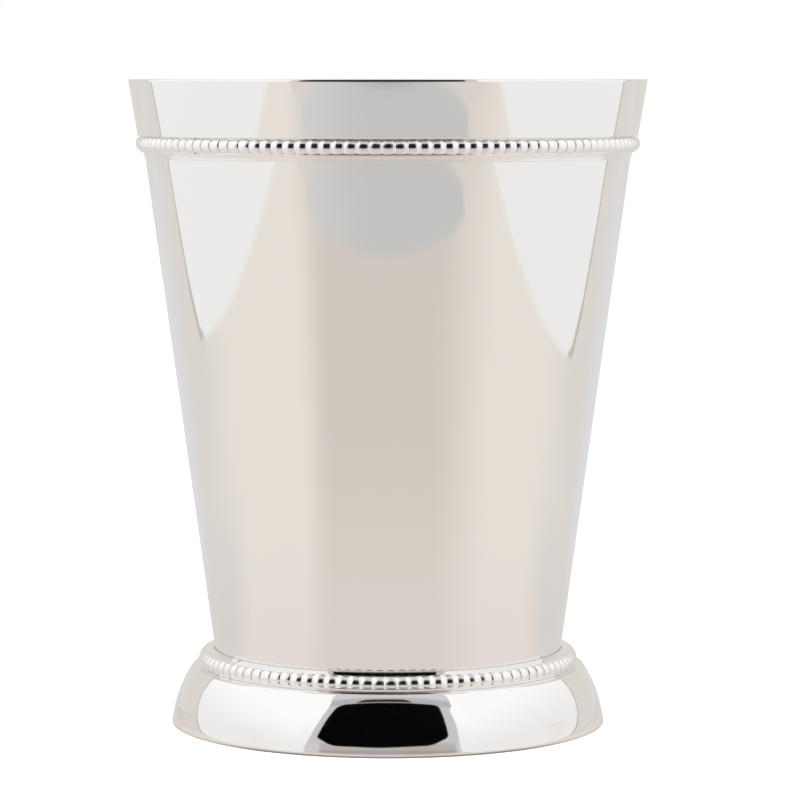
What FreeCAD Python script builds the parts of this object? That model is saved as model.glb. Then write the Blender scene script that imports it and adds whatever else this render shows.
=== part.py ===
import FreeCAD, Part
import math
import os
import re

import Sketcher

# A footed beaker of thin plated sheet with two applied beaded strips.
# Millimetres, Z up, origin at the centre of the circle that the foot stands on.
# The front of the cup looks along -Y.

# Driving sizes, each written once: name, value, what it is
DRIVING = [
    ("cup_height", 108.0, "table to the top of the lip"),
    ("rim_diameter", 86.4, "outside, at the lip"),
    ("wall_thickness", 0.9, "sheet of the beaker"),
    ("lip_height", 9.35, "plain wall from the top of the lip down to the swaged step"),
    ("lip_flare", 1.53, "how far the lip spreads, on the radius, over its height"),
    ("step_width", 0.7, "swaged step that backs the upper strip"),
    ("beaker_base_diameter", 57.1, "outside, where the wall would meet the floor"),
    ("beaker_reach", 1.3, "how far the beaker reaches down into the hollow foot"),
    ("base_corner_size", 1.5, "outside rounded corner between floor and wall"),
    ("inside_corner_size", 1.0, "the same, inside"),
    ("floor_thickness", 0.9, "beaker's floor"),
    ("solder_film", 0.06, "clearance between pieces that are soldered together"),
    ("bead_pitch", 1.99, "bead to bead along the face of a strip"),
    ("bead_gap", 0.14, "space between neighbouring beads"),
    ("bead_clearance", 0.08, "space over and under the beads in their channel"),
    ("bead_root", 0.03, "how deep a bead's flat back sits in the strip"),
    ("seam_gap", 0.1, "open butt joint of a strip, narrower than the space between beads"),
    ("rim_strip_backing", 0.3, "upper strip behind its beads, at its top"),
    ("rim_lip_height", 0.28, "thin lip over the upper beads"),
    ("rim_lip_depth", 0.37, "how far that lip stands out from the strip's face"),
    ("rim_fillet_height", 0.36, "plain fillet under the upper beads"),
    ("rim_fillet_depth", 0.53, "how far that fillet stands out"),
    ("rim_seam_angle", 221.6, "direction of the upper butt joint, from +X towards +Y"),
    ("rim_solder_height", 0.62, "solder under the upper strip"),
    ("rim_solder_depth", 0.95, "the same, across its top"),
    ("ledge_height", 9.8, "table to the flat ledge at the top of the foot"),
    ("ledge_width", 0.94, "flat ledge outside the lower strip"),
    ("ledge_corner_width", 0.65, "rounded corner between ledge and flare"),
    ("ledge_corner_drop", 0.6, "the same, downwards"),
    ("ledge_corner_radius", 0.9, "the same, its curve"),
    ("skirt_thickness", 0.9, "sheet of the foot"),
    ("foot_spread", 3.82, "how far the foot spreads past its ledge"),
    ("flare_radius", 22.0, "bulge of the flare"),
    ("foot_edge_radius", 0.45, "rounded outer edge that meets the table"),
    ("neck_cover", 0.74, "lower strip over the top of the foot's neck"),
    ("foot_strip_backing", 0.68, "lower strip behind its beads, at their top"),
    ("shoulder_flat", 0.25, "flat top of the lower strip, next to the beaker"),
    ("shoulder_height", 0.29, "sloping shoulder over the lower beads"),
    ("shoulder_depth", 0.25, "how far the shoulder overhangs the face"),
    ("shoulder_radius", 6.0, "curve of the shoulder"),
    ("foot_fillet_height", 0.65, "rounded fillet under the lower beads"),
    ("foot_fillet_top_depth", 0.59, "how far the fillet stands out at its top"),
    ("foot_fillet_depth", 0.75, "how far the fillet stands out at its foot"),
    ("foot_fillet_radius", 0.45, "curve of the fillet"),
    ("foot_seam_angle", 214.1, "direction of the lower butt joint, from +X towards +Y"),
    ("foot_solder_height", 0.35, "solder over the lower strip"),
    ("foot_solder_depth", 0.22, "the same, across its foot"),
    ("joint_solder_height", 0.75, "solder ring inside the hollow foot"),
    ("joint_solder_depth", 1.1, "the same, across its top"),
    ("cut_margin", 0.5, "overrun of a cut past the metal"),
]

def wall_radius(height):
    """Outside radius of the straight beaker wall at a height, as an expression."""
    return "(beaker_base_radius + (%s - beaker_base_height) * beaker_taper)" % height


# Sizes worked out from the driving ones
DERIVED = [
    ("step_height", "cup_height - lip_height"),
    ("lip_foot_radius", "rim_diameter / 2 - lip_flare"),
    ("step_radius", "lip_foot_radius - step_width"),
    ("ledge_underside", "ledge_height - skirt_thickness"),
    ("beaker_base_height", "ledge_underside - beaker_reach"),
    ("beaker_base_radius", "beaker_base_diameter / 2"),
    ("beaker_taper", "(step_radius - beaker_base_radius) / (step_height - beaker_base_height)"),
    ("bead_diameter", "bead_pitch - bead_gap"),
    ("channel_height", "bead_diameter + 2 * bead_clearance"),
    ("rim_face_radius", "step_radius + rim_strip_backing"),
    ("rim_channel_top", "step_height - rim_lip_height"),
    ("rim_channel_bottom", "rim_channel_top - channel_height"),
    ("rim_strip_bottom", "rim_channel_bottom - rim_fillet_height"),
    ("rim_bead_count", "round(2 * pi * rim_face_radius / bead_pitch)"),
    ("rim_back_radius", wall_radius("rim_channel_top") + " + solder_film"),
    ("rim_core_radius", "(rim_face_radius + rim_back_radius) / 2"),
    ("foot_channel_bottom", "ledge_height + foot_fillet_height"),
    ("foot_channel_top", "foot_channel_bottom + channel_height"),
    ("foot_strip_top", "foot_channel_top + shoulder_height"),
    ("neck_top", "foot_strip_top - neck_cover"),
    ("foot_back_radius", wall_radius("foot_channel_top") + " + skirt_thickness + 2 * solder_film"),
    ("foot_face_radius", "foot_back_radius + foot_strip_backing"),
    ("foot_core_radius", "(foot_face_radius + foot_back_radius) / 2"),
    ("foot_bead_count", "round(2 * pi * foot_face_radius / bead_pitch)"),
    ("foot_fillet_foot", "foot_face_radius + foot_fillet_depth"),
    ("ledge_radius", "foot_fillet_foot + ledge_width"),
    ("flare_top_radius", "ledge_radius + ledge_corner_width"),
    ("foot_radius", "ledge_radius + foot_spread"),
]

ALIASES = [row[0] for row in DRIVING] + [row[0] for row in DERIVED]

# The side of its chord, walking along the outline, to which an arc bulges
LEFT = 1
RIGHT = -1


def bound(text):
    """Write an expression over the sheet's names in the form that the document reads."""
    return re.sub(r"[a-z_]+", lambda m: "Sizes." + m[0] if m[0] in ALIASES else m[0], text)


def make_sheet(doc):
    sheet = doc.addObject("Spreadsheet::Sheet", "Sizes")
    for row, (name, value, meaning) in enumerate(DRIVING, 1):
        sheet.set("A%d" % row, name)
        sheet.set("B%d" % row, str(value))
        sheet.set("C%d" % row, meaning)
        sheet.setAlias("B%d" % row, name)
    for row, (name, formula) in enumerate(DERIVED, len(DRIVING) + 1):
        sheet.set("A%d" % row, name)
        sheet.set("B%d" % row, "=" + formula)
        sheet.setAlias("B%d" % row, name)
    doc.recompute()
    return sheet


def seat_radius(height):
    """The wall's radius with the solder film on it."""
    return "(%s + solder_film)" % wall_radius(height)


def neck_radius(height):
    """Outside radius of the foot's neck, which stands parallel to the wall."""
    return "(%s + skirt_thickness)" % seat_radius(height)


def origin_part(body, role):
    return next(part for part in body.Origin.OriginFeatures if part.Role == role)


def make_body(doc, name):
    body = doc.addObject("PartDesign::Body", name)
    body.Label = name
    return body


def make_sketch(body, name):
    sketch = body.newObject("Sketcher::SketchObject", name)
    sketch.AttachmentSupport = [(origin_part(body, "XZ_Plane"), "")]
    sketch.MapMode = "FlatFace"
    return sketch


def arc_middle(start, end, radius, side):
    """Middle point of the arc between two points that bulges to one side of its chord."""
    chord = end - start
    half = chord.Length / 2
    rise = radius - math.sqrt(radius * radius - half * half)
    normal = FreeCAD.Vector(-chord.y, chord.x, 0).normalize()
    return (start + end) / 2 + normal * rise * side


def place_corner(sketch, edge, point, corner):
    """Tie one corner of an outline to its radius and height."""
    for kind, axis, text in (("DistanceX", -2, corner[0]), ("DistanceY", -1, corner[1])):
        if text == "0":
            sketch.addConstraint(Sketcher.Constraint("PointOnObject", edge, point, axis))
            continue
        value = sketch.evalExpression(bound(text))
        index = sketch.addConstraint(Sketcher.Constraint(kind, -1, 1, edge, point, float(value)))
        sketch.setExpression("Constraints[%d]" % index, bound(text))


def draw_outline(sketch, corners, arcs):
    """Close an outline through corners given as (radius, height) expressions.

    arcs maps the number of an edge to its radius expression and the side it bulges to.
    """
    points = []
    for radius, height in corners:
        where = [float(sketch.evalExpression(bound(text))) for text in (radius, height)]
        points.append(FreeCAD.Vector(where[0], where[1], 0))
    ends = []
    for number, start in enumerate(points):
        end = points[(number + 1) % len(points)]
        if number in arcs:
            size, side = arcs[number]
            radius = float(sketch.evalExpression(bound(size)))
            middle = arc_middle(start, end, radius, side)
            edge = sketch.addGeometry(Part.Arc(start, middle, end), False)
            index = sketch.addConstraint(Sketcher.Constraint("Radius", edge, radius))
            sketch.setExpression("Constraints[%d]" % index, bound(size))
        else:
            edge = sketch.addGeometry(Part.LineSegment(start, end), False)
        apart = [sketch.getPoint(edge, which).distanceToPoint(start) for which in (1, 2)]
        ends.append((edge, 1, 2) if apart[0] < apart[1] else (edge, 2, 1))
    for number, (edge, first, last) in enumerate(ends):
        following = ends[(number + 1) % len(ends)]
        join = Sketcher.Constraint("Coincident", edge, last, following[0], following[1])
        sketch.addConstraint(join)
        place_corner(sketch, edge, first, corners[number])


def revolve(body, sketch, name):
    turned = body.newObject("PartDesign::Revolution", name)
    turned.Profile = sketch
    turned.ReferenceAxis = (sketch, ["V_Axis"])
    turned.Angle = 360
    return turned


def make_ring(doc, name, corners, arcs):
    """A sheet or strip that is one outline turned round the cup's axis."""
    body = make_body(doc, name)
    sketch = make_sketch(body, name + "_outline")
    draw_outline(sketch, corners, arcs)
    revolve(body, sketch, name + "_turned")
    doc.recompute()
    return body


def corner_arc(size):
    """Radius of the arc that leaves the flat floor level and ends on the leaning wall."""
    return "(%s * ((1 + beaker_taper) ^ 2 + 1) / 2)" % size


def make_cup_body(doc):
    """Beaker: floor, rounded corner, straight wall, swaged step, lip wall, round lip."""
    corner_top = "(beaker_base_height + base_corner_size)"
    lip_side = "(cup_height - wall_thickness / 2)"
    step_inside = "(step_height + wall_thickness)"
    floor_top = "(beaker_base_height + floor_thickness)"
    inside_corner_top = "(%s + inside_corner_size)" % floor_top
    rim_radius = "(rim_diameter / 2)"
    corners = [
        ("0", "beaker_base_height"),
        ("beaker_base_radius - base_corner_size", "beaker_base_height"),
        (wall_radius(corner_top), corner_top),
        ("step_radius", "step_height"),
        ("lip_foot_radius", "step_height"),
        (rim_radius, lip_side),
        (rim_radius + " - wall_thickness / 2", "cup_height"),
        (rim_radius + " - wall_thickness", lip_side),
        ("lip_foot_radius - wall_thickness", step_inside),
        (wall_radius(step_inside) + " - wall_thickness", step_inside),
        (wall_radius(inside_corner_top) + " - wall_thickness", inside_corner_top),
        (wall_radius(floor_top) + " - wall_thickness - inside_corner_size", floor_top),
        ("0", floor_top),
    ]
    arcs = {
        1: (corner_arc("base_corner_size"), RIGHT),
        5: ("wall_thickness / 2", RIGHT),
        6: ("wall_thickness / 2", RIGHT),
        10: (corner_arc("inside_corner_size"), LEFT),
    }
    return make_ring(doc, "cup_body", corners, arcs)


def make_facets(size, strip, count, bottom, height):
    """Band of flat facets, one behind each bead, with its corners between the beads."""
    half_turn = math.pi / count
    corner_radius = size(strip + "_face_radius") / math.cos(half_turn)
    corners = []
    for number in range(count + 1):
        turn = 2 * number * half_turn
        corners.append(FreeCAD.Vector(math.cos(turn), math.sin(turn), 0) * corner_radius)
    inside = (size(strip + "_core_radius") + size(strip + "_back_radius")) / 2
    band = Part.Face(Part.makePolygon(corners)).extrude(FreeCAD.Vector(0, 0, height))
    band = band.cut(Part.makeCylinder(inside, height))
    band.translate(FreeCAD.Vector(0, 0, bottom))
    return band


def make_beads(size, strip, count, middle):
    """Half-round beads, one on the middle of each facet, sunk by their root."""
    seat = size(strip + "_face_radius") - size("bead_root")
    beads = []
    for number in range(count):
        turn = (2 * number + 1) * math.pi / count
        out = FreeCAD.Vector(math.cos(turn), math.sin(turn), 0)
        centre = out * seat + FreeCAD.Vector(0, 0, middle)
        beads.append(Part.makeSphere(size("bead_diameter") / 2, centre, out, 0, 90, 360))
    return beads


def make_bead_strip(doc, strip):
    """Add facets, beads and the open butt joint to a turned ring.

    One rolled strip carries well over a hundred beads. They are joined in one step,
    because neither a sketched feature nor a chain of primitives suits so many.
    """
    def size(name):
        return float(doc.Sizes.get(name))

    ring = doc.getObject(strip + "_strip_ring").Shape
    count = int(size(strip + "_bead_count"))
    bottom = size(strip + "_channel_bottom")
    height = size("channel_height")
    facets = make_facets(size, strip, count, bottom, height)
    beads = make_beads(size, strip, count, bottom + height / 2)
    solid = ring.fuse(facets).multiFuse(beads)
    box = ring.BoundBox
    margin = size("cut_margin")
    gap = size("seam_gap")
    inside = size(strip + "_back_radius") - (box.ZLength + margin)
    length = box.XMax + margin - inside
    slot = Part.makeBox(length, gap, box.ZLength + 2 * margin)
    slot.translate(FreeCAD.Vector(inside, -gap / 2, box.ZMin - margin))
    piece = doc.addObject("Part::Feature", strip + "_bead_strip")
    piece.Label = strip + "_bead_strip"
    piece.Shape = solid.cut(slot)
    turn = FreeCAD.Rotation(FreeCAD.Vector(0, 0, 1), size(strip + "_seam_angle"))
    piece.Placement = FreeCAD.Placement(FreeCAD.Vector(), turn)
    check_beads(piece.Shape, count, size)
    return piece


def check_beads(shape, count, size):
    """Every bead must show as a round face of its own."""
    domes = [face for face in shape.Faces if isinstance(face.Surface, Part.Sphere)]
    area = sum(face.Area for face in domes)
    radius = size("bead_diameter") / 2
    whole = count * 2 * math.pi * radius * (radius - size("bead_root"))
    if len(domes) != count or not math.isclose(area, whole, rel_tol=1e-3):
        raise RuntimeError("a bead row has %d domes, not %d" % (len(domes), count))


def make_rim_bead_strip(doc):
    """Upper strip: thin lip, channel with beads, plain fillet, flat edges."""
    lip = "(rim_face_radius + rim_lip_depth)"
    fillet = "(rim_face_radius + rim_fillet_depth)"
    corners = [
        (seat_radius("rim_strip_bottom"), "rim_strip_bottom"),
        (fillet, "rim_strip_bottom"),
        (fillet, "rim_channel_bottom"),
        ("rim_core_radius", "rim_channel_bottom"),
        ("rim_core_radius", "rim_channel_top"),
        (lip, "rim_channel_top"),
        (lip, "step_height"),
        (seat_radius("step_height"), "step_height"),
    ]
    make_ring(doc, "rim_strip_ring", corners, {})
    return make_bead_strip(doc, "rim")


def make_foot_bead_strip(doc):
    """Lower strip: sloping shoulder, beads, rounded fillet, seat over the neck."""
    corners = [
        (neck_radius("ledge_height") + " + solder_film", "ledge_height"),
        ("foot_fillet_foot", "ledge_height"),
        ("foot_face_radius + foot_fillet_top_depth", "foot_channel_bottom"),
        ("foot_core_radius", "foot_channel_bottom"),
        ("foot_core_radius", "foot_channel_top"),
        ("foot_face_radius + shoulder_depth", "foot_channel_top"),
        (seat_radius("foot_strip_top") + " + shoulder_flat", "foot_strip_top"),
        (seat_radius("foot_strip_top"), "foot_strip_top"),
        (seat_radius("neck_top"), "neck_top"),
        (neck_radius("neck_top") + " + solder_film", "neck_top"),
    ]
    arcs = {
        1: ("foot_fillet_radius", RIGHT),
        5: ("shoulder_radius", RIGHT),
    }
    make_ring(doc, "foot_strip_ring", corners, arcs)
    return make_bead_strip(doc, "foot")


def make_foot_skirt(doc):
    """Foot: neck round the beaker, flat ledge, rounded corner, convex flare, rounded edge."""
    corners = [
        (seat_radius("neck_top"), "neck_top"),
        (seat_radius("ledge_underside"), "ledge_underside"),
        ("flare_top_radius - skirt_thickness", "ledge_underside"),
        ("foot_radius - skirt_thickness", "0"),
        ("foot_radius - foot_edge_radius", "0"),
        ("foot_radius", "foot_edge_radius"),
        ("flare_top_radius", "ledge_height - ledge_corner_drop"),
        ("ledge_radius", "ledge_height"),
        (neck_radius("ledge_height"), "ledge_height"),
        (neck_radius("neck_top"), "neck_top"),
    ]
    arcs = {
        2: ("flare_radius - skirt_thickness", LEFT),
        4: ("foot_edge_radius", RIGHT),
        5: ("flare_radius", RIGHT),
        6: ("ledge_corner_radius", RIGHT),
    }
    return make_ring(doc, "foot_skirt", corners, arcs)


def make_solder(doc):
    """The three solder rings, each with a flat face on the piece that it seals."""
    rim_tip = "(rim_strip_bottom - rim_solder_height)"
    foot_tip = "(foot_strip_top + foot_solder_height)"
    joint_tip = "(ledge_underside - joint_solder_height)"
    rings = [
        ("rim_strip_solder", [
            (seat_radius("rim_strip_bottom"), "rim_strip_bottom"),
            (seat_radius(rim_tip), rim_tip),
            (seat_radius("rim_strip_bottom") + " + rim_solder_depth", "rim_strip_bottom"),
        ]),
        ("foot_strip_solder", [
            (seat_radius("foot_strip_top"), "foot_strip_top"),
            (seat_radius("foot_strip_top") + " + foot_solder_depth", "foot_strip_top"),
            (seat_radius(foot_tip), foot_tip),
        ]),
        ("foot_joint_solder", [
            (seat_radius("ledge_underside"), "ledge_underside"),
            (seat_radius("ledge_underside"), joint_tip),
            (seat_radius("ledge_underside") + " + joint_solder_depth", "ledge_underside"),
        ]),
    ]
    return [make_ring(doc, name, corners, {}) for name, corners in rings]


def check(doc, bodies):
    """Stop before anything is written if a feature failed or a piece is not one sound solid."""
    for item in doc.Objects:
        wrong = [state for state in item.State if state in ("Invalid", "Error")]
        if wrong:
            raise RuntimeError("%s: %s" % (item.Name, wrong))
    for body in bodies:
        shape = body.Shape
        if shape.isNull() or not shape.isValid() or len(shape.Solids) != 1:
            raise RuntimeError("%s is not one valid solid" % body.Label)
        print("%-20s %9.1f mm3  %4d faces" % (body.Label, shape.Volume, len(shape.Faces)))


def main():
    doc = FreeCAD.newDocument("julep_cup")
    make_sheet(doc)
    bodies = [
        make_cup_body(doc),
        make_rim_bead_strip(doc),
        make_foot_skirt(doc),
        make_foot_bead_strip(doc),
    ]
    bodies += make_solder(doc)
    doc.recompute()
    check(doc, bodies)
    os.makedirs("parts", exist_ok=True)
    for body in bodies:
        body.Shape.exportStep("parts/%s.step" % body.Label)


main()
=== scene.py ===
# %% [markdown]
# # A polished julep cup with two beaded strips
# The real cup is thin plated sheet: a spun beaker soldered into a spun foot, with a rolled strip of
# beads under the lip and another round the joint. A mirror finish has no colour to speak of, so the
# look comes from exact outlines, smooth normals and what stands round the cup. Blender works in
# metres here, in the CAD's own frame: Z up, and the cup's front looks along -Y. Outlines are written
# in millimetres, as on a drawing, and become metres where a mesh is made.

import math

import bmesh
import bpy
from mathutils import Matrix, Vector


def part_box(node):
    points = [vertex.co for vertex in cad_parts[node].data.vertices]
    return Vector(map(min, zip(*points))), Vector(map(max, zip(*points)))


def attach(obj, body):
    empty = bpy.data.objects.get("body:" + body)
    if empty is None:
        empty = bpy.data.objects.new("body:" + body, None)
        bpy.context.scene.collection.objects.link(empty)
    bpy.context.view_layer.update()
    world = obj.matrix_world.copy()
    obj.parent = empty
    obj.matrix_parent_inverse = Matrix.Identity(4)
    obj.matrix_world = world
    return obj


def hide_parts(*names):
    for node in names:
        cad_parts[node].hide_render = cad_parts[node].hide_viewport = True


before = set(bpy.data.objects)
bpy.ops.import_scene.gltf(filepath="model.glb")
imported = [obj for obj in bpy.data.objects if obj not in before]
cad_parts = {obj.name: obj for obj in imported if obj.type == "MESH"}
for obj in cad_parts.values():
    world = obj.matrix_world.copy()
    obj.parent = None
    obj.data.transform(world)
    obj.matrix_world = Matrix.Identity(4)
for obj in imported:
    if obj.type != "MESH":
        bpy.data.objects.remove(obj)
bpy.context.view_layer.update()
print("CAD nodes:", sorted(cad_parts))

# %% [markdown]
# ## Camera
# The photograph is a long-lens picture taken from the height of the rim and tipped down a little, so
# that the rim shows edge on and the foot shows a little from above. Distance, height and lens were
# fitted to the cup's outline. The cup stands slightly left of the middle, which a small sideways
# shift of the picture gives.

# %% Camera
MM = 0.001
FULL_TURN = 2 * math.pi

camera_distance = 618.4 * MM
camera_height = 108.05 * MM
camera_tip = math.radians(4.97)
lens_length, sensor_width, sideways_shift = 166.18, 36, 0.0151

camera_data = bpy.data.cameras.new("long_lens")
camera_data.sensor_width = sensor_width
camera_data.lens = lens_length
camera_data.shift_x = sideways_shift
camera = bpy.data.objects.new("long_lens", camera_data)
camera.location = (0, -camera_distance, camera_height)
camera.rotation_euler = (math.pi / 2 - camera_tip, 0, 0)
bpy.context.scene.collection.objects.link(camera)
bpy.context.scene.camera = camera
bpy.context.scene.view_settings.view_transform = "Standard"
print("camera at", tuple(round(c, 4) for c in camera.location))

# %% [markdown]
# ## Measures taken from the CAD
# The solids already fix the cup's main heights and widths, so these are read from the frame instead
# of being typed again. Every node is turned round the cup's axis, so its box gives its lowest and
# highest point and its radius.

# %% Measures from the CAD
def cad_span(node):
    """A turned node's lowest point, highest point and radius, in millimetres."""
    low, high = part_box(node)
    return [round(value / MM, 2) for value in (low[2], high[2], high[0])]


base_height, cup_height, lip_radius = cad_span("cup_body")
_, neck_top, foot_radius = cad_span("foot_skirt")
upper_bottom, step_height, _ = cad_span("rim_bead_strip")
ledge_height = cad_span("foot_bead_strip")[0]
joint_bottom = cad_span("foot_joint_solder")[0]
print("cup", cup_height, "high, lip radius", lip_radius, "and foot radius", foot_radius)

# %% [markdown]
# ## Small helpers for node trees
# A node tree is easier to read in a script when one line adds a node, sets it up and links it. The
# same helpers serve Geometry Nodes, shader groups and materials, so all trees below are written in
# one manner.

# %% Helpers for node trees
def new_tree(name, kind, inputs, outputs):
    """A node tree with named sockets, given as (name, socket kind, default) and (name, socket kind)."""
    tree = bpy.data.node_groups.new(name, kind)
    for title, socket, default in inputs:
        made = tree.interface.new_socket(title, in_out="INPUT", socket_type=socket)
        if default is not None:
            made.default_value = default
    for title, socket in outputs:
        tree.interface.new_socket(title, in_out="OUTPUT", socket_type=socket)
    return tree, tree.nodes.new("NodeGroupInput").outputs, tree.nodes.new("NodeGroupOutput").inputs


def input_names(tree):
    """The names of a tree's inputs, to print."""
    return [socket.name for socket in tree.interface.items_tree if socket.in_out == "INPUT"]


def feed(tree, socket, value):
    """Link a socket to another, or set its plain value."""
    if isinstance(value, bpy.types.NodeSocket):
        tree.links.new(value, socket)
    elif value is not None:
        socket.default_value = value


def add(tree, kind, inputs=(), **settings):
    """Add a node, set its properties, and feed its first inputs or the named ones."""
    node = tree.nodes.new(kind)
    for name, value in settings.items():
        setattr(node, name, value)
    pairs = inputs.items() if isinstance(inputs, dict) else enumerate(inputs)
    for key, value in pairs:
        feed(tree, node.inputs[key], value)
    return node


def calc(tree, operation, *values):
    """One Math node. It serves in geometry, group and material trees alike."""
    return add(tree, "ShaderNodeMath", values, operation=operation).outputs[0]


def product(tree, first, *others):
    """Multiply values, or masks that all have to be there."""
    for other in others:
        first = calc(tree, "MULTIPLY", first, other)
    return first


def ramp(tree, value, start, end):
    """0 below start, 1 above end, smooth between. It falls where start is the larger."""
    low, high, first, last = (start, end, 0, 1) if start < end else (end, start, 1, 0)
    values = {"Value": value, "From Min": low, "From Max": high, "To Min": first, "To Max": last}
    return add(tree, "ShaderNodeMapRange", values, interpolation_type="SMOOTHSTEP").outputs[0]


# %% [markdown]
# ## A lathe made of Geometry Nodes
# Beaker, foot, strips and solder rings are all turned shapes, so one node tree makes them all. It
# lays out a grid with one row for each point of an outline and one column for each step of the turn,
# then moves each grid point to its place. Rows and columns are told apart by the point's own number.
# This beats the Screw modifier here because a strip can stop short of a full turn and leave its butt
# joint open, and every size is a named input.

# %% The lathe tree
STEPS_ROUND = 384
WELD = 1e-7


def build_lathe():
    """Turn an outline round Z. Points nearer than WELD are merged, which closes seam and poles."""
    tree, given, result = new_tree("lathe", "GeometryNodeTree", [
        ("Outline", "NodeSocketObject", None),
        ("Steps round", "NodeSocketInt", STEPS_ROUND),
        ("Start angle", "NodeSocketFloat", 0.0),
        ("Sweep", "NodeSocketFloat", FULL_TURN),
        ("Finish", "NodeSocketMaterial", None),
    ], [("Geometry", "NodeSocketGeometry")])
    outline = add(tree, "GeometryNodeObjectInfo", [given["Outline"]]).outputs["Geometry"]
    rows = add(tree, "GeometryNodeAttributeDomainSize", [outline]).outputs["Point Count"]
    columns = calc(tree, "ADD", given["Steps round"], 1.0)
    sizes = {"Vertices X": columns, "Vertices Y": rows}
    grid = add(tree, "GeometryNodeMeshGrid", sizes).outputs["Mesh"]
    number = add(tree, "GeometryNodeInputIndex").outputs[0]
    row = calc(tree, "MODULO", number, rows)
    column = calc(tree, "FLOOR", calc(tree, "DIVIDE", number, rows))
    position = add(tree, "GeometryNodeInputPosition").outputs[0]
    sample = {"Geometry": outline, "Value": position, "Index": row}
    point = add(tree, "GeometryNodeSampleIndex", sample, data_type="FLOAT_VECTOR").outputs[0]
    share = calc(tree, "DIVIDE", column, given["Steps round"])
    angle = calc(tree, "ADD", given["Start angle"], product(tree, share, given["Sweep"]))
    turn = {"Vector": point, "Angle": angle}
    place = add(tree, "ShaderNodeVectorRotate", turn, rotation_type="Z_AXIS").outputs[0]
    moved = add(tree, "GeometryNodeSetPosition", {"Geometry": grid, "Position": place})
    joined = add(tree, "GeometryNodeMergeByDistance", {"Geometry": moved.outputs[0], "Distance": WELD})
    smooth = add(tree, "GeometryNodeSetShadeSmooth", [joined.outputs[0]])
    real = add(tree, "GeometryNodeRealizeInstances", [smooth.outputs[0]])
    finish = {"Geometry": real.outputs[0], "Material": given["Finish"]}
    feed(tree, result[0], add(tree, "GeometryNodeSetMaterial", finish).outputs[0])
    return tree


lathe = build_lathe()
print("lathe inputs:", input_names(lathe))

# %% [markdown]
# ## Outlines
# An outline is walked with the metal on its left: up the outside and down the inside. On a mirror a
# sharp corner looks false and a long face next to a tiny one bends the reflection, so each corner
# gets a small bend and each straight run gets a support point near both of its ends.

# %% Outline helpers
BEND_STEPS = 6
SUPPORT = 0.12
STRAIGHT = math.radians(178)
MOST_OF_A_SIDE = 0.45


def swing(middle, first, last, steps):
    """Points of an arc round a middle, from one point to another."""
    start, end = first - middle, last - middle
    return [middle + start.slerp(end, step / steps) * start.length for step in range(steps + 1)]


def bent_corner(before, here, after, bend):
    """Points of a bend of that radius at a corner, or the corner itself where bend is 0."""
    back, ahead = (before - here), (after - here)
    opening = back.angle(ahead)
    if bend == 0 or opening > STRAIGHT:
        return [here]
    reach = min(bend / math.tan(opening / 2), MOST_OF_A_SIDE * back.length, MOST_OF_A_SIDE * ahead.length)
    radius = reach * math.tan(opening / 2)
    middle = here + (back.normalized() + ahead.normalized()).normalized() * math.hypot(reach, radius)
    return swing(middle, here + back.normalized() * reach, here + ahead.normalized() * reach, BEND_STEPS)


def arc(start, end, radius, steps, side=1):
    """Points between two others on an arc that bulges away from the metal, or into it for side -1."""
    start, end = Vector(start), Vector(end)
    chord = end - start
    out = Vector((chord.y, -chord.x)).normalized() * side
    middle = (start + end) / 2 - out * math.sqrt(radius ** 2 - chord.length_squared / 4)
    return [(*point, 0) for point in swing(middle, start, end, steps)[1:-1]]


def round_off(corners, closed):
    """Bend the corners of a walk, given in millimetres as (across, up, bend), with support points."""
    spots = [Vector(corner[:2]) for corner in corners]
    bends = [corner[2] for corner in corners]
    count = len(spots)
    walk = []
    for number, here in enumerate(spots):
        if not closed and number in (0, count - 1):
            walk.append([here])
            continue
        before, after = spots[number - 1], spots[(number + 1) % count]
        walk.append(bent_corner(before, here, after, bends[number]))
    points = []
    for number, bend in enumerate(walk):
        points += bend
        if number == count - 1 and not closed:
            break
        start, end = bend[-1], walk[(number + 1) % count][0]
        if (end - start).length > 4 * SUPPORT:
            step = (end - start).normalized() * SUPPORT
            points += [start + step, end - step]
    return points


# %% [markdown]
# ## From an outline to a piece
# A wire holds the outline, a modifier turns it once, and the result is kept as a plain mesh, so that
# nothing live is left on the piece. A butt joint leaves two open ends on a strip. Each gets a face of
# its own, because a solid bar of metal has no open end.

# %% Turning an outline
def make_outline(name, corners, closed):
    """A wire of the rounded walk, for the lathe."""
    points = round_off(corners, closed)
    if closed:
        points.append(points[0])
    mesh = bpy.data.meshes.new(name)
    mesh.from_pydata([(p.x * MM, 0, p.y * MM) for p in points], [], [])
    return bpy.data.objects.new(name, mesh)


def bake(name, tree, values):
    """Run a geometry tree with these inputs once and keep its result as a plain mesh."""
    piece = bpy.data.objects.new(name, bpy.data.meshes.new(name))
    bpy.context.scene.collection.objects.link(piece)
    modifier = piece.modifiers.new(tree.name, "NODES")
    modifier.node_group = tree
    sockets = {s.name: s.identifier for s in tree.interface.items_tree if s.in_out == "INPUT"}
    for title, value in values.items():
        modifier[sockets[title]] = value
    ready = piece.evaluated_get(bpy.context.evaluated_depsgraph_get())
    mesh = bpy.data.meshes.new_from_object(ready)
    piece.modifiers.clear()
    piece.data = mesh
    mesh.name = name
    return piece


def close_ends(piece):
    """Close the two open ends that a butt joint leaves on a strip."""
    shape = bmesh.new()
    shape.from_mesh(piece.data)
    rims = [edge for edge in shape.edges if edge.is_boundary]
    for face in bmesh.ops.holes_fill(shape, edges=rims, sides=0)["faces"]:
        face.smooth = False
    bmesh.ops.recalc_face_normals(shape, faces=shape.faces)
    shape.to_mesh(piece.data)
    shape.free()


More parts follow.
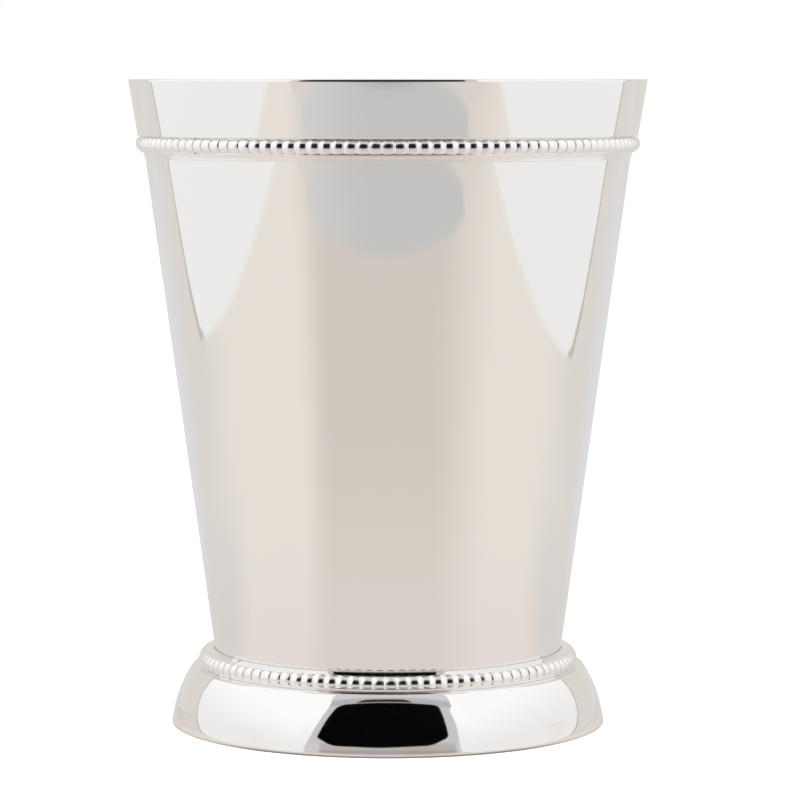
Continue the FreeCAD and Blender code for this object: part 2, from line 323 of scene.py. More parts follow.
def turn_piece(name, corners, finish, closed=False, steps=STEPS_ROUND, seam=None, gap=0.0):
    """Turn an outline into a finished piece. A seam angle leaves an open butt joint there."""
    outline = make_outline(name + "_outline", corners, closed)
    values = {"Outline": outline, "Steps round": steps, "Finish": finish}
    if seam is not None:
        values.update({"Start angle": seam + gap / 2, "Sweep": FULL_TURN - gap})
    piece = bake(name, lathe, values)
    bpy.data.objects.remove(outline)
    if seam is not None:
        close_ends(piece)
    print(name, len(piece.data.polygons), "faces")
    return piece


# %% [markdown]
# ## The plate's finish
# Bright plate is nearly a perfect mirror. What gives it away as real metal is slight: buffing leaves
# the gloss a little uneven, the sheet is not quite true, and a few pits and stains gather where the
# wheel reaches badly, low on the foot. One group works these out from the object's own coordinates,
# and each material sets how much of each it wants.

# %% Wear of polished plate, as a shared group
CLOUD_SCALE, SHEET_SCALE, PIT_SCALE = 60.0, 38.0, 420.0
PIT_EDGE, PIT_MIDDLE, PIT_RARITY, PIT_DULLNESS = 0.24, 0.1, 0.93, 0.25
STAIN_START, STAIN_FULL = 0.5, 0.7
BRIGHTEST_GLOSS = 0.02


def build_polish():
    """Stain colour, roughness and height of buffed plate, from the object's own coordinates."""
    tree, given, result = new_tree("polish", "ShaderNodeTree", [
        ("Haze", "NodeSocketFloat", 0.05),
        ("Haze change", "NodeSocketFloat", 0.02),
        ("Waviness", "NodeSocketFloat", 0.1),
        ("Pits", "NodeSocketFloat", 0.0),
        ("Pits up to", "NodeSocketFloat", 0.003),
        ("Metal", "NodeSocketColor", (0.9, 0.9, 0.9, 1)),
        ("Stain", "NodeSocketColor", (0.9, 0.9, 0.9, 1)),
    ], [("Color", "NodeSocketColor"), ("Roughness", "NodeSocketFloat"), ("Height", "NodeSocketFloat")])
    place = add(tree, "ShaderNodeTexCoord").outputs["Object"]
    height = add(tree, "ShaderNodeSeparateXYZ", [place]).outputs["Z"]
    cloud_inputs = {"Vector": place, "Scale": CLOUD_SCALE, "Detail": 3.0}
    cloud = add(tree, "ShaderNodeTexNoise", cloud_inputs).outputs[0]
    sheet_inputs = {"Vector": place, "Scale": SHEET_SCALE, "Detail": 1.0}
    sheet = add(tree, "ShaderNodeTexNoise", sheet_inputs).outputs[0]
    spots = add(tree, "ShaderNodeTexVoronoi", {"Vector": place, "Scale": PIT_SCALE, "Randomness": 1.0})
    chance = add(tree, "ShaderNodeSeparateColor", [spots.outputs["Color"]]).outputs[0]
    low = calc(tree, "LESS_THAN", height, given["Pits up to"])
    dots = product(tree, ramp(tree, spots.outputs["Distance"], PIT_EDGE, PIT_MIDDLE),
                   calc(tree, "GREATER_THAN", chance, PIT_RARITY))
    pits = product(tree, dots, low, given["Pits"])
    bloom = product(tree, ramp(tree, cloud, STAIN_START, STAIN_FULL), low, given["Pits"])
    colour = add(tree, "ShaderNodeMix", {0: bloom, 6: given["Metal"], 7: given["Stain"]}, data_type="RGBA")
    haze = product(tree, calc(tree, "SUBTRACT", cloud, 0.5), given["Haze change"])
    rough = calc(tree, "ADD", calc(tree, "ADD", given["Haze"], haze), product(tree, pits, PIT_DULLNESS))
    feed(tree, result["Color"], colour.outputs[2])
    feed(tree, result["Roughness"], calc(tree, "MAXIMUM", rough, BRIGHTEST_GLOSS))
    feed(tree, result["Height"], calc(tree, "SUBTRACT", product(tree, sheet, given["Waviness"]), pits))
    return tree


polish = build_polish()
print("polish inputs:", input_names(polish))

# %% [markdown]
# ## The plate on each piece
# Every piece carries the same bright plate, yet not the same gloss. The wall is buffed best, the wheel
# hardly reaches between the beads, and solder under the plate stays a little rough. So each material
# keeps a metallic shader of its own and feeds it from the shared group.

# %% Plate materials
BUMP_DEPTH = 0.02 * MM


def plated(name, metal, **settings):
    """Bright plate: the polish group feeds a metallic shader and a bump."""
    material = bpy.data.materials.new(name)
    material.use_nodes = True
    tree = material.node_tree
    shader = tree.nodes["Principled BSDF"]
    shader.inputs["Metallic"].default_value = 1
    wear = add(tree, "ShaderNodeGroup", node_tree=polish)
    wear.inputs["Metal"].default_value = (*metal, 1)
    wear.inputs["Stain"].default_value = (*warm_stain, 1)
    for title, value in settings.items():
        wear.inputs[title.replace("_", " ")].default_value = value
    shape = add(tree, "ShaderNodeBump", {"Height": wear.outputs["Height"], "Distance": BUMP_DEPTH,
                                         "Strength": 1.0})
    for title, socket in (("Base Color", wear.outputs["Color"]), ("Roughness", wear.outputs["Roughness"]),
                          ("Normal", shape.outputs["Normal"])):
        feed(tree, shader.inputs[title], socket)
    return material


silver, solder_grey, warm_stain = (0.925, 0.915, 0.9), (0.9, 0.885, 0.865), (0.86, 0.8, 0.73)
plate_wall = plated("bright_plate_wall", silver, Haze=0.05, Haze_change=0.02, Waviness=0.6)
plate_foot = plated("bright_plate_foot", silver, Haze=0.04, Haze_change=0.02, Waviness=0.3,
                    Pits=1.0, Pits_up_to=0.0035)
plate_strip = plated("bright_plate_strip", silver, Haze=0.06, Haze_change=0.04, Waviness=0.2)
plate_beads = plated("bright_plate_beads", silver, Haze=0.17, Haze_change=0.08, Waviness=0.8)
plate_solder = plated("plated_solder", solder_grey, Haze=0.12, Haze_change=0.08, Waviness=1.0)
print("plate finishes:", [m.name for m in bpy.data.materials if "plate" in m.name])

# %% [markdown]
# ## The beaker
# One spun sheet: a flat floor, a rounded corner, a straight wall, a small swaged step that backs the
# upper strip, and a lip wall that spreads a little more and ends in a rounded edge. The sizes are the
# CAD's. Only the lip's foot is drawn a hair wider, because the mirrored shapes follow its slope.

# %% Beaker
base_radius, step_radius, lip_foot = 28.55, 40.97, 41.7
sheet_thickness = 0.9
wall_slope = (step_radius - base_radius) / (step_height - base_height)


def wall_at(height):
    """Radius of the beaker's outside at a height, in millimetres."""
    return base_radius + (height - base_height) * wall_slope


inside_step = step_height + sheet_thickness
floor_top = base_height + sheet_thickness
beaker = turn_piece("beaker", [
    (0, base_height, 0),
    (wall_at(base_height), base_height, 1.5),
    (step_radius, step_height, 0.25),
    (lip_foot, step_height, 0.08),
    (lip_radius, cup_height - 0.4, 0.3),
    (lip_radius, cup_height, 0.17),
    (lip_radius - sheet_thickness, cup_height, 0.3),
    (lip_foot - sheet_thickness, inside_step, 0.3),
    (wall_at(inside_step) - sheet_thickness, inside_step, 0.3),
    (wall_at(floor_top) - sheet_thickness, floor_top, 1.2),
    (0, floor_top, 0),
], plate_wall, steps=512)

# %% [markdown]
# ## The foot
# A second spun sheet. Its neck hides behind the lower strip, and outside that runs a narrow ledge, a
# rounded corner and a convex flare down to a rounded edge. Underneath it is hollow. A film of solder
# parts every two sheets that lie on each other, so none of their faces coincide.

# %% Foot
film = 0.06
neck = sheet_thickness + film
ledge_radius, flare_top, flare_bend, foot_edge = 32.85, 33.05, 22.0, 0.28
ledge_inner, ledge_outer = ledge_height + 0.1, ledge_height - 0.08
ledge_under = ledge_height - sheet_thickness
flare_start, flare_end = (foot_radius, foot_edge), (flare_top, ledge_height - 0.25)
inner_start, inner_end = (flare_top - sheet_thickness, ledge_under), (foot_radius - sheet_thickness, 0)
foot = turn_piece("foot", [
    (wall_at(ledge_under) + film, ledge_under, 0.3),
    (*inner_start, 0.3),
    *arc(inner_start, inner_end, flare_bend - sheet_thickness, 20, -1),
    (*inner_end, 0.15),
    (foot_radius - foot_edge, 0, 0),
    *arc((foot_radius - foot_edge, 0), flare_start, foot_edge, 6),
    (*flare_start, 0),
    *arc(flare_start, flare_end, flare_bend, 28),
    (*flare_end, 0.12),
    (ledge_radius, ledge_outer, 0.12),
    (wall_at(ledge_height) + neck, ledge_inner, 0.1),
    (wall_at(neck_top) + neck, neck_top, 0.1),
    (wall_at(neck_top) + film, neck_top, 0.1),
], plate_foot, closed=True, steps=448)

# %% [markdown]
# ## The two strips
# Each strip was rolled flat with its beads on, cut to length, bent round and butted. The turned part
# carries the plain edges and the face behind the beads. It stops short of a full turn by the width of
# the butt joint, which is pressed almost shut.

# %% Turned part of the strips
upper_seam, lower_seam = math.radians(221.6), math.radians(214.1)
seam_gap, upper_seam_radius, lower_seam_radius = 0.005, 41.5, 31
upper_face, upper_top = 41.2, 98.6
upper_strip = turn_piece("upper_strip", [
    (wall_at(upper_bottom) + film, upper_bottom, 0.02),
    (upper_face + 0.06, upper_bottom, 0.03),
    (upper_face + 0.1, upper_bottom + 0.14, 0.03),
    (upper_face, upper_bottom + 0.2, 0.03),
    (upper_face, upper_top, 0.03),
    (wall_at(upper_top) + film, upper_top + 0.02, 0.02),
], plate_strip, closed=True, seam=upper_seam, gap=seam_gap / upper_seam_radius)

strip_foot, fillet_top = 31.45, 10.26
face_foot, face_foot_height = 31.22, 10.5
face_head, face_head_height = 30.62, 12.15
shoulder, shoulder_height, lower_top = 30.8, 12.34, 12.72
lower_strip = turn_piece("lower_strip", [
    (wall_at(ledge_inner) + neck + film, ledge_inner + 0.02, 0.02),
    (strip_foot, ledge_height + 0.02, 0.03),
    (strip_foot, fillet_top, 0.05),
    (face_foot + 0.12, face_foot_height - 0.02, 0.03),
    (face_foot, face_foot_height, 0.03),
    (face_head, face_head_height, 0.1),
    (shoulder, shoulder_height, 0.1),
    (wall_at(lower_top) + film, lower_top, 0.02),
    (wall_at(neck_top) + film, neck_top, 0.02),
    (wall_at(neck_top) + neck + film, neck_top, 0.02),
], plate_strip, closed=True, seam=lower_seam, gap=seam_gap / lower_seam_radius)

# %% [markdown]
# ## The beads
# Seen closely the beads are not balls but small pillows: fully round upright, yet so flat across that
# only shallow grooves part them. One pillow is modelled with a few dozen faces, so that a whole row of
# them stays light.

# %% One bead
ACROSS, UPRIGHT = 8, 8
BEAD_BACK = 0.45


def make_bead(name, width, height, depth, flank, tuck):
    """A pillow along +X. It falls off quickly at first, then evenly down to its flank's steepness."""
    shape = bmesh.new()
    half, steepness = width / 2, math.tan(math.radians(flank))
    grid = []
    for row in range(UPRIGHT + 1):
        up = math.sin(math.pi * (row / UPRIGHT - 0.5))
        line = []
        for column in range(ACROSS + 1):
            side = (column / ACROSS - 0.5) * width
            share = abs(side) / half
            fall = steepness * half * (1.5 * share ** 2 - share ** 3 + share ** 4 / 4) * (1 + tuck * up ** 4)
            spot = (depth * math.sqrt(1 - up ** 2) - fall, side, up * height / 2)
            line.append(shape.verts.new([part * MM for part in spot]))
        grid.append(line)
    for lower, upper in zip(grid, grid[1:]):
        for column in range(ACROSS):
            ring = (lower[column], lower[column + 1], upper[column + 1], upper[column])
            shape.faces.new(ring).smooth = True
    corners = [shape.verts.new((-BEAD_BACK * MM, side * half * MM, up * height / 2 * MM))
               for side, up in ((-1, -1), (1, -1), (1, 1), (-1, 1))]
    bottom, top = grid[0], grid[-1]
    left, right = [line[0] for line in grid], [line[-1] for line in grid]
    for edge, first, last in ((bottom, 0, 1), (right, 1, 2), (top[::-1], 2, 3), (left[::-1], 3, 0)):
        shape.faces.new([*edge, corners[last], corners[first]]).smooth = False
    shape.faces.new(corners).smooth = False
    bmesh.ops.recalc_face_normals(shape, faces=shape.faces)
    mesh = bpy.data.meshes.new(name)
    shape.to_mesh(mesh)
    shape.free()
    return bpy.data.objects.new(name, mesh)


# %% [markdown]
# ## A row of beads
# A row repeats one bead at even steps round the cup, which is what instances on points are for. No
# two real beads are quite alike, so each is turned and sized a little at random, from a fixed seed.
# The tree ends by making the instances real, because a file for other programs would drop them.

# %% The bead row tree
SECOND_DRAW = 100.0


def build_bead_row():
    """Beads on a ring of points, each turned outwards, leaned back and made a little uneven."""
    tree, given, result = new_tree("bead_row", "GeometryNodeTree", [
        ("Bead", "NodeSocketObject", None),
        ("Count", "NodeSocketInt", 100),
        ("Radius", "NodeSocketFloat", 0.03),
        ("Height", "NodeSocketFloat", 0.01),
        ("First angle", "NodeSocketFloat", 0.0),
        ("Lean", "NodeSocketFloat", 0.0),
        ("Unevenness", "NodeSocketFloat", 0.02),
        ("Seed", "NodeSocketInt", 1),
        ("Finish", "NodeSocketMaterial", None),
    ], [("Geometry", "NodeSocketGeometry")])
    points = add(tree, "GeometryNodePoints", {"Count": given["Count"]}).outputs[0]
    number = add(tree, "GeometryNodeInputIndex").outputs[0]
    step = calc(tree, "DIVIDE", FULL_TURN, given["Count"])
    angle = calc(tree, "ADD", given["First angle"], product(tree, number, step))
    across, along = (product(tree, calc(tree, wave, angle), given["Radius"]) for wave in ("COSINE", "SINE"))
    spot = add(tree, "ShaderNodeCombineXYZ", [across, along, given["Height"]]).outputs[0]
    placed = add(tree, "GeometryNodeSetPosition", {"Geometry": points, "Position": spot}).outputs[0]

    def chance(extra):
        """A small random vector for each bead, from the seed and an extra number."""
        spread = {"Min": (-1, -1, -1), "Max": (1, 1, 1), "Seed": calc(tree, "ADD", given["Seed"], extra)}
        node = add(tree, "FunctionNodeRandomValue", spread, data_type="FLOAT_VECTOR")
        return add(tree, "ShaderNodeVectorMath", {0: node.outputs[0], "Scale": given["Unevenness"]},
                   operation="SCALE").outputs[0]

    lean = add(tree, "ShaderNodeCombineXYZ", [0.0, product(tree, given["Lean"], -1.0), angle])
    turn = add(tree, "ShaderNodeVectorMath", [lean.outputs[0], chance(0.0)], operation="ADD").outputs[0]
    size = add(tree, "ShaderNodeVectorMath", [chance(SECOND_DRAW), (1, 1, 1)], operation="ADD").outputs[0]
    turned = add(tree, "FunctionNodeEulerToRotation", [turn]).outputs[0]
    bead = add(tree, "GeometryNodeObjectInfo", [given["Bead"]]).outputs["Geometry"]
    copies = {"Points": placed, "Instance": bead, "Rotation": turned, "Scale": size}
    row = add(tree, "GeometryNodeInstanceOnPoints", copies).outputs[0]
    real = add(tree, "GeometryNodeRealizeInstances", [row]).outputs[0]
    finish = {"Geometry": real, "Material": given["Finish"]}
    feed(tree, result[0], add(tree, "GeometryNodeSetMaterial", finish).outputs[0])
    return tree


bead_row = build_bead_row()
print("bead row inputs:", input_names(bead_row))

# %% [markdown]
# ## Both rows
# The upper beads stand upright under the lip, and the lower ones lean back with the face of their
# strip, so that they look a little upwards. The first bead lies half a step from the butt joint,
# which puts the joint in a groove, where a maker would hide it.

# %% Both bead rows
UNEVENNESS = 0.025


def lay_beads(name, bead_size, count, radius, height, seam, lean, seed):
    """One row of beads as a finished piece. Sizes are in millimetres and the lean is in degrees."""
    bead = make_bead(name + "_bead", **bead_size)
    row = bake(name, bead_row, {
        "Bead": bead, "Count": count, "Radius": radius * MM, "Height": height * MM,
        "First angle": seam + FULL_TURN / count / 2, "Lean": math.radians(lean),
        "Unevenness": UNEVENNESS, "Seed": seed, "Finish": plate_beads,
    })
    bpy.data.objects.remove(bead)
    print(name, count, "beads,", len(row.data.polygons), "faces")
    return row


upper_bead = {"width": 2.14, "height": 2.26, "depth": 0.72, "flank": 19, "tuck": 0.4}
lower_bead = {"width": 2.12, "height": 2.2, "depth": 0.54, "flank": 17.5, "tuck": 0.35}
upper_beads = lay_beads("upper_beads", upper_bead, count=130, radius=41.3, height=97.38,
                        seam=upper_seam, lean=0, seed=3)
lower_beads = lay_beads("lower_beads", lower_bead, count=98, radius=face_foot, height=11.41,
                        seam=lower_seam, lean=27, seed=8)

# %% [markdown]
# ## Solder
# Solder fills the corner under the upper strip and the crease over the lower one, and a ring of it
# inside the hollow foot holds the beaker. Each ring is turned like the rest. The upper one runs out
# thin on the wall and thickens under the strip, which shows as two fine lines.

# %% Solder rings
run_out, first_line, second_line, under_strip = 94.5, 95.58, 95.7, 95.9
upper_solder = turn_piece("upper_solder", [
    (wall_at(run_out) + film, run_out, 0.02),
    (wall_at(first_line) + film + 0.04, first_line, 0.03),
    (wall_at(second_line) + film + 0.13, second_line, 0.03),
    (wall_at(under_strip) + film + 0.14, under_strip, 0.03),
    (wall_at(upper_bottom) + film + 0.22, upper_bottom - 0.01, 0.02),
    (wall_at(upper_bottom) + film, upper_bottom - 0.01, 0.02),
], plate_solder, closed=True)

crease_foot, crease_top = lower_top + 0.01, lower_top + 0.08
lower_solder = turn_piece("lower_solder", [
    (wall_at(crease_foot) + film, crease_foot, 0.01),
    (wall_at(crease_foot) + film + 0.05, crease_foot, 0.01),
    (wall_at(crease_top) + film, crease_top, 0.01),
], plate_solder, closed=True)

joint_top, joint_width = ledge_under - 0.01, 1.1
joint_inside = wall_at(joint_top) + film
foot_solder = turn_piece("foot_solder", [
    (joint_inside, joint_bottom, 0.05),
    (joint_inside + joint_width, joint_top, 0.05),
    (joint_inside, joint_top, 0.02),
], plate_solder, closed=True)

# %% [markdown]
# ## What each piece stands for
# The cup is one rigid body, so every piece rides on the root, and each takes the place of the CAD
# node that it shows. A strip was rolled in one with its beads, so both of them stand for one node.

# %% Say what each piece stands for
STANDS_FOR = {
    beaker: "cup_body", foot: "foot_skirt",
    upper_strip: "rim_bead_strip", upper_beads: "rim_bead_strip",
    lower_strip: "foot_bead_strip", lower_beads: "foot_bead_strip",
    upper_solder: "rim_strip_solder", lower_solder: "foot_strip_solder", foot_solder: "foot_joint_solder",
}
for piece, node in STANDS_FOR.items():
    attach(piece, "root")
    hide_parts(node)
print(len(STANDS_FOR), "pieces ride on the root")

# %% [markdown]
# ## The light tent that the mirror shows
# A polished cup is photographed inside a small tent of white cloth, through an opening in its front.
# The floor and the world give a plain white picture and soft light. What the plate mirrors is set up
# apart, on cards that only mirror rays see: a beige table top, two cloth sides with rounded lower
# corners, a cloth front with a grey hem round the dark opening, and the rest of the tent behind.
# Patterns are painted by place on a card, never by where the camera stands.

# %% Floor, world and lamp
def flat_piece(name, half, height):
    """A level square on the stage, in metres."""
    mesh = bpy.data.meshes.new(name)
    corners = [(-half, -half, height), (half, -half, height), (half, half, height), (-half, half, height)]
    mesh.from_pydata(corners, [], [(0, 1, 2, 3)])
    made = bpy.data.objects.new(name, mesh)
    bpy.context.scene.collection.objects.link(made)
    return made


def stage_material(name, shader_kind):
    """A material with one plain shader, its tree, and that shader's colour socket."""
    material = bpy.data.materials.new(name)
    material.use_nodes = True
    tree = material.node_tree
    tree.nodes.remove(tree.nodes["Principled BSDF"])
    shader = add(tree, shader_kind)
    feed(tree, tree.nodes["Material Output"].inputs["Surface"], shader.outputs[0])
    return material, tree, shader.inputs["Color"]


def lamp(name, place, aim, size, power):
    """A square area lamp that the plate doesn't mirror."""
    data = bpy.data.lights.new(name, "AREA")
    data.shape = "SQUARE"
    data.size = size
    data.energy = power
    made = bpy.data.objects.new(name, data)
    made.location = place
    made.rotation_euler = (Vector(aim) - Vector(place)).to_track_quat("-Z", "Y").to_euler()
    made.visible_glossy = False
    bpy.context.scene.collection.objects.link(made)


floor = flat_piece("floor", half=6, height=0)
floor.visible_glossy = False
paper, _, paper_colour = stage_material("white_paper", "ShaderNodeBsdfDiffuse")
paper_colour.default_value = (0.9, 0.9, 0.9, 1)
floor.data.materials.append(paper)

world = bpy.data.worlds.new("white_room")
bpy.context.scene.world = world
world.use_nodes = True
room = world.node_tree
path = add(room, "ShaderNodeLightPath").outputs
plain_view = path["Is Camera Ray"]
for kind in ("Is Glossy Ray", "Is Transmission Ray"):
    plain_view = calc(room, "MAXIMUM", plain_view, path[kind])
soft_light = 1.18
strength = calc(room, "SUBTRACT", soft_light, product(room, plain_view, soft_light - 1))
room.nodes["Background"].inputs["Color"].default_value = (1, 1, 1, 1)
feed(room, room.nodes["Background"].inputs["Strength"], strength)

lamp("overhead", place=(0.1, -0.5, 1.3), aim=(0, 0, 0), size=0.9, power=16)
print("floor, white room and one lamp are set up")

# %% [markdown]
# ## How the cards are made
# A card is a flat shape that gives light of its own to mirror rays and to nothing else. Its shade is
# worked out backwards, from what the plate shows on the screen, so that it can be compared with the
# photograph directly. Its patterns are soft ramps along the card's own coordinates. Upright cards
# start a millimetre under the table, so that no gap shows there.

# %% Helpers for the cards
CARD_FOOT = -1
GLOW = "ShaderNodeEmission"


def seen(red, green, blue):
    """The light that a card gives so that the plate shows it as this screen shade."""
    return tuple(((value / 255 + 0.055) / 1.055) ** 2.4 / metal
                 for value, metal in zip((red, green, blue), silver))


def spot_of(tree):
    """A place on the card in its own coordinates, in metres."""
    return add(tree, "ShaderNodeTexCoord").outputs["Object"]


def parts_of(tree):
    """The same place as X, Y and Z."""
    return add(tree, "ShaderNodeSeparateXYZ", [spot_of(tree)]).outputs


def between(tree, value, start, end):
    """A ramp between two places that are given in millimetres."""
    return ramp(tree, value, start * MM, end * MM)


def off(tree, value, middle=0.0):
    """How far a value lies from a middle, to either side."""
    return calc(tree, "ABSOLUTE", calc(tree, "SUBTRACT", value, middle))


def full_colour(value):
    """A colour socket as it is, or a plain shade with its fourth value."""
    return value if isinstance(value, bpy.types.NodeSocket) else (*value, 1)


def paint(tree, under, over, mask):
    """Lay one colour over another by a mask."""
    sockets = {0: mask, 6: full_colour(under), 7: full_colour(over)}
    return add(tree, "ShaderNodeMix", sockets, data_type="RGBA").outputs[2]


def mirror_only(card, material):
    """Give a card its light and hide it from all but mirror rays."""
    card.visible_camera = card.visible_diffuse = card.visible_shadow = False
    card.data.materials.clear()
    card.data.materials.append(material)


def plain_glow(name, shade):
    """A card's light in one shade."""
    material, _, glow = stage_material(name, GLOW)
    glow.default_value = full_colour(shade)
    return material


def height_glow(name, low, high, start, end):
    """A cloth that turns from one shade to another between two heights, in millimetres."""
    material, tree, glow = stage_material(name, GLOW)
    feed(tree, glow, paint(tree, low, high, between(tree, parts_of(tree)["Z"], start, end)))
    return material


def upright_card(name, corners, material, across=None, along=None):
    """A card standing across the view at a depth, or along it at one side, cut to an outline."""
    outline = round_off(corners, True)
    if across is not None:
        spots = [(p.x * MM, across * MM, p.y * MM) for p in outline]
    else:
        spots = [(along * MM, p.x * MM, p.y * MM) for p in outline]
    mesh = bpy.data.meshes.new(name)
    mesh.from_pydata(spots, [], [tuple(range(len(spots)))])
    card = bpy.data.objects.new(name, mesh)
    bpy.context.scene.collection.objects.link(card)
    mirror_only(card, material)
    print("card", name, "with", len(spots), "points")


# %% [markdown]
# ## The table top
# The foot mirrors the table right up to its own edge. The beige turns grey behind the cup, where white cloth
# lights it, and duller beside it. In front the cup's shadow is painted in as a soft fan, and a painted
# contact shadow makes a thin dark line where the foot stands. Further on the table ends under the hem, in a
# gentle curve.

# %% Beige table top
def hem_grey(tree, x):
    """The hem's grey, a little darker towards +X. The table's edge under it has it too."""
    return paint(tree, seen(207, 206, 204), seen(195, 194, 192), between(tree, x, -220, -20))


table_material, tree, glow = stage_material("table_card", GLOW)
x, y, _ = parts_of(tree)
reach = add(tree, "ShaderNodeVectorMath", [spot_of(tree)], operation="LENGTH").outputs["Value"]
angle = calc(tree, "ARCTAN2", x, product(tree, y, -1.0))
colour = paint(tree, seen(226, 217, 210), seen(229, 222, 214), between(tree, reach, 50, 130))

rear = between(tree, y, -30, 130)
colour = paint(tree, colour, seen(217, 212, 206), rear)
slant = calc(tree, "DIVIDE", off(tree, x), calc(tree, "MAXIMUM", y, 10 * MM))
colour = paint(tree, colour, seen(216, 216, 217), product(tree, rear, ramp(tree, slant, 1.3, 0.5)))

beside = ramp(tree, off(tree, angle), math.radians(80), math.radians(107))
colour = paint(tree, colour, seen(212, 208, 204), product(tree, beside, between(tree, reach, 200, 80)))

# Painted shadow of the cup: a soft darker fan on the table towards the front.
left_of_fan = ramp(tree, angle, math.radians(-46), math.radians(-28))
right_of_fan = ramp(tree, angle, math.radians(56), math.radians(20))
fan_depth = calc(tree, "ADD", product(tree, between(tree, reach, 60, 180), 0.4), 0.6)
painted_shadow_fan = product(tree, left_of_fan, right_of_fan, fan_depth)
colour = paint(tree, colour, seen(208, 200, 192), painted_shadow_fan)

# Painted contact shadow: a thin dark ring round the foot, weaker towards both sides.
contact_shadow_fade = product(tree, between(tree, off(tree, x), 20, 34), 0.8)
contact_shadow = product(tree, calc(tree, "SUBTRACT", 1.0, contact_shadow_fade), between(tree, reach, 41, 37.2))
colour = paint(tree, colour, seen(140, 134, 130), contact_shadow)

hem_distance, hem_middle, hem_curve, most_sag = 282 * MM, -9.5 * MM, 0.65, 16 * MM
sag = calc(tree, "MINIMUM", product(tree, x, x, hem_curve), most_sag)
past_hem = calc(tree, "SUBTRACT", calc(tree, "ADD", y, hem_distance), sag)
under_hem = product(tree, between(tree, past_hem, 2, -2), between(tree, off(tree, x, hem_middle), 204, 196))
feed(tree, glow, paint(tree, colour, hem_grey(tree, x), under_hem))

table = flat_piece("table_card", half=3, height=-0.2 * MM)
mirror_only(table, table_material)
print("table card painted with", len(tree.nodes), "nodes")

# %% [markdown]
# ## The cloth sides
# White cloth hangs on both sides and is a little greyer low down, where less light falls. Its lower rear
# corner is rounded. A slightly larger card of a darker shade stands behind each side. It shows past the rear
# edge as a thin line of painted shade, which the cup's wall mirrors as a curved line.

# %% The tent's cloth sides
TENT_TOP, FRONT, LEFT_SIDE, RIGHT_SIDE = 700, -283, -310, 290
# A thin line of painted shade along each side's rear edge, and its width in millimetres.
EDGE_SHADE_WIDTH = 9
painted_edge_shade = plain_glow("painted_edge_shade", seen(186, 178, 171))
left_cloth = height_glow("left_cloth", seen(236, 235, 233), seen(252, 251, 250), 30, 200)
right_cloth = height_glow("right_cloth", seen(236, 234, 232), seen(250, 249, 248), 30, 220)


def side_corners(rear_edge, bend, foot_line):
    """A side's outline from the front to its rear edge, with a rounded lower rear corner."""
    return [(FRONT, CARD_FOOT, 0), (rear_edge, foot_line, bend),
            (rear_edge, TENT_TOP, 0), (FRONT, TENT_TOP, 0)]


for name, material, side, rear_edge, bend, out in (
        ("left_side", left_cloth, LEFT_SIDE, 220, 130, -1),
        ("right_side", right_cloth, RIGHT_SIDE, 192, 120, 1)):
    upright_card(name, side_corners(rear_edge, bend, CARD_FOOT), material, along=side)
    edge_shade_corners = side_corners(rear_edge + EDGE_SHADE_WIDTH, bend + 8, CARD_FOOT - 7)
    upright_card(name + "_seam", edge_shade_corners, painted_edge_shade, along=side + out)

# %% [markdown]
# ## The front with its opening
# The front cloth stands where the camera looks in. Its opening is the dark shape in the middle of the
# cup, and a grey hem with a folded lower edge runs round it. Their outlines are rounded polygons,
# worked out from the shapes that wall, lip and foot mirror. The layers stand a millimetre apart.

# %% The tent's front
front_cloth = height_glow("front_cloth", seen(237, 236, 234), seen(252, 251, 250), 40, 240)
upright_card("front", [(LEFT_SIDE, CARD_FOOT, 0), (RIGHT_SIDE, CARD_FOOT, 0), (RIGHT_SIDE, TENT_TOP, 0),
                       (LEFT_SIDE, TENT_TOP, 0)], front_cloth, across=FRONT)

# %% [markdown]
# ## The grey hem
# The hem is lit unevenly, so it is painted in bands. Its lowest part is plain grey and arched, with
# beige light from the table over both ends. Darker and lighter bands follow above, where the cloth is
# folded over, and towards both ends the darkest one turns pale.

# %% The hem
hem_material, tree, glow = stage_material("grey_hem", GLOW)
x, _, z = parts_of(tree)
fold_middle, fold_half, fold_height, fold_curve = -9 * MM, 207 * MM, 26.5 * MM, 2.4
off_fold = calc(tree, "POWER", calc(tree, "DIVIDE", off(tree, x, fold_middle), fold_half), fold_curve)
fold_top = product(tree, calc(tree, "SUBTRACT", 1.0, off_fold), fold_height)
over_fold = calc(tree, "SUBTRACT", z, fold_top)
colour = paint(tree, hem_grey(tree, x), seen(216, 209, 201), between(tree, over_fold, -1, 1))

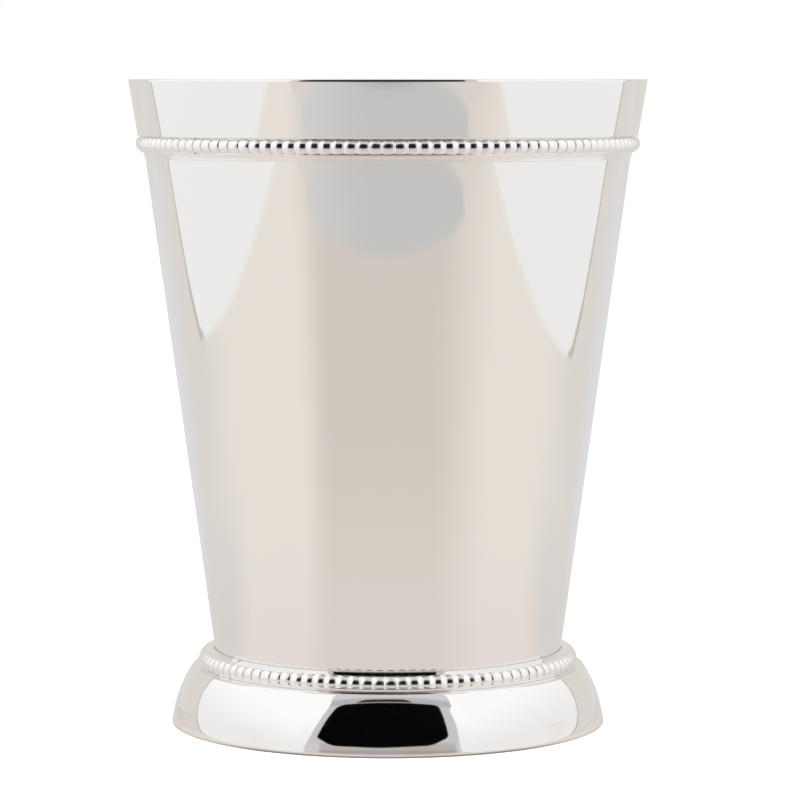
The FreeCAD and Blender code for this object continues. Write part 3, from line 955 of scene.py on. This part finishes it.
dark_band = between(tree, z, 22.5, 26.5)
near_ends = between(tree, off(tree, x), 183, 200)
colour = paint(tree, colour, seen(166, 158, 157), dark_band)
colour = paint(tree, colour, seen(180, 177, 172), between(tree, z, 36, 42))
colour = paint(tree, colour, seen(206, 201, 198), product(tree, near_ends, dark_band))
colour = paint(tree, colour, seen(197, 196, 197), between(tree, z, 60, 80))
colour = paint(tree, colour, seen(178, 177, 175), between(tree, z, 290, 310))
colour = paint(tree, colour, seen(205, 204, 206), between(tree, z, 345, 380))
feed(tree, glow, colour)

upright_card("hem", [
    (-262, CARD_FOOT, 30), (-258, 50, 40), (-238, 110, 60), (-222, 190, 60), (-210, 285, 30), (-212, 330, 20),
    (-224, 400, 20), (-224, TENT_TOP, 0), (250, TENT_TOP, 0), (250, 400, 20), (236, 315, 20), (214, 268, 20),
    (214, 170, 60), (208, 100, 30), (208, 60, 15), (214, 27, 4), (262, 26, 4), (270, CARD_FOOT, 0),
], hem_material, across=FRONT + 1)

# %% [markdown]
# ## The dark opening
# The room outside is almost black. The opening's lower edge hangs in a long curve, and a narrow strip
# over its top is a shade lighter, where the hem turns inwards.

# %% The opening
upright_card("opening", [
    (-209, 97, 14), (-172, 306, 42), (176, 304, 20), (170, 96, 30), (110, 58, 70), (-20, 49, 250),
    (-150, 57, 80),
], plain_glow("dark_room", seen(1, 1, 1)), across=FRONT + 2)
upright_card("opening_edge", [(-112, 312, 3), (-80, 342, 14), (60, 342, 14), (84, 312, 3)],
             plain_glow("opening_edge", seen(54, 51, 49)), across=FRONT + 1.5)

# %% [markdown]
# ## The rest of the tent
# What the cards leave open is closed by a plain dome. The lathe that turned the cup turns it as well,
# since it only needs an outline. It is a little greyer in front than behind.

# %% The rest of the tent
tent_radius, tent_height, tent_foot, tent_bend = 1150, 1600, -300, 500
tent_wire = make_outline("tent_wire", [(tent_radius, tent_foot, 0), (tent_radius, tent_height, tent_bend),
                                       (0, tent_height, 0)], False)
tent_material, tree, glow = stage_material("tent_cloth", GLOW)
ahead = between(tree, parts_of(tree)["Y"], 100, -500)
feed(tree, glow, paint(tree, seen(217, 211, 205), seen(205, 203, 202), ahead))
tent = bake("tent", lathe, {"Outline": tent_wire, "Steps round": 96, "Finish": tent_material})
mirror_only(tent, tent_material)
bpy.data.objects.remove(tent_wire)
print("tent dome of", len(tent.data.polygons), "faces")
